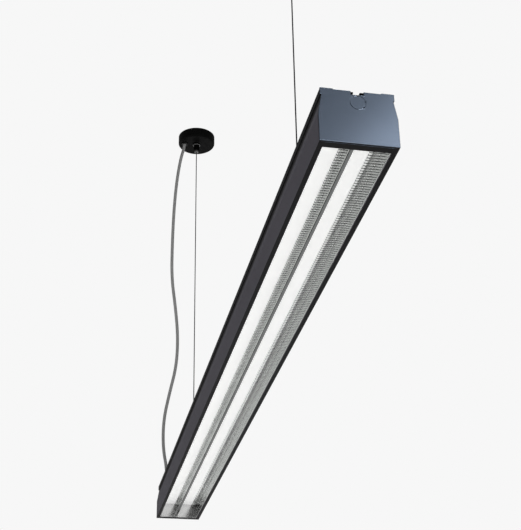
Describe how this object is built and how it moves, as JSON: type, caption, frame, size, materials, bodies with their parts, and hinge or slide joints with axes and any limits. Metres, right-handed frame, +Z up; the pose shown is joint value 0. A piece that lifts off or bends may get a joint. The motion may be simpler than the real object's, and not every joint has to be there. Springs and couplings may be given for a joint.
{
  "type": "linear pendant light",
  "caption": "Long ceiling-hung light with ribbed reflectors along its lit strips, held on taut wires with quick-release grippers and fed by a hanging cord.",
  "frame": {"origin": "centre of the canopy's ceiling face, on the axis of the far suspension wire", "axes": "+X along the housing towards its near end, +Z up to the ceiling, Y across"},
  "size_m": [1.3, 0.0831, 0.7295],
  "materials": {
    "anthracite": "satin",
    "black_rail": "satin",
    "blue_grey": "satin",
    "reflector": "satin",
    "opal": "matte",
    "board": "matte",
    "sheet": "satin",
    "screw": "satin",
    "case": "matte",
    "terminal": "matte",
    "black_plastic": "satin",
    "black_paint": "satin",
    "nickel": "satin",
    "steel_wire": "satin",
    "rubber": "matte",
    "grey_cord": "satin",
    "zinc": "satin"
  },
  "bodies": {
    "light": {"housing_profile": "anthracite", "top_rail": "black_rail", "near_end_plate": "blue_grey", "far_end_plate": "blue_grey", "gear_tray": "sheet", "tray_screws": "screw", "rail_screws": "screw", "driver_screws": "screw", "led_board_left": "board", "led_board_right": "board", "diffuser_left": "opal", "diffuser_right": "opal", "outer_reflector_left": "reflector", "outer_reflector_right": "reflector", "inner_reflector_left": "reflector", "inner_reflector_right": "reflector", "centre_divider": "black_rail", "led_driver": "case", "housing_terminal": "terminal", "canopy_terminal": "terminal", "gland_body": "black_plastic", "gland_nut": "black_plastic", "gland_locknut": "black_plastic", "gland_seal": "rubber", "canopy_cup": "black_paint", "ceiling_cap": "black_paint", "canopy_bar": "zinc", "ceiling_cap_bar": "zinc", "canopy_grommet": "rubber", "power_cord": "grey_cord", "far_slot_nut": "zinc", "far_anchor_base": "nickel", "far_anchor_cap": "nickel", "far_wire": "steel_wire", "far_gripper_body": "black_paint", "far_gripper_collar": "nickel", "far_gripper_spring": "steel_wire", "near_slot_nut": "zinc", "near_anchor_base": "nickel", "near_anchor_cap": "nickel", "near_wire": "steel_wire", "near_gripper_body": "black_paint", "near_gripper_collar": "nickel", "near_gripper_spring": "steel_wire"},
    "far_button": {"far_plunger": "nickel"},
    "near_button": {"near_plunger": "nickel"}
  },
  "joints": [
    {"name": "far_release", "type": "slide", "parent": "light", "child": "far_button", "axis": [0, 0, 1], "range_m": [0, 0.0025], "stiffness_N_per_m": 1200, "springref_m": -0.0025, "deforming": ["far_gripper_spring"]},
    {"name": "near_release", "type": "slide", "parent": "light", "child": "near_button", "axis": [0, 0, 1], "range_m": [0, 0.0025], "stiffness_N_per_m": 1200, "springref_m": -0.0025, "deforming": ["near_gripper_spring"]}
  ]
}
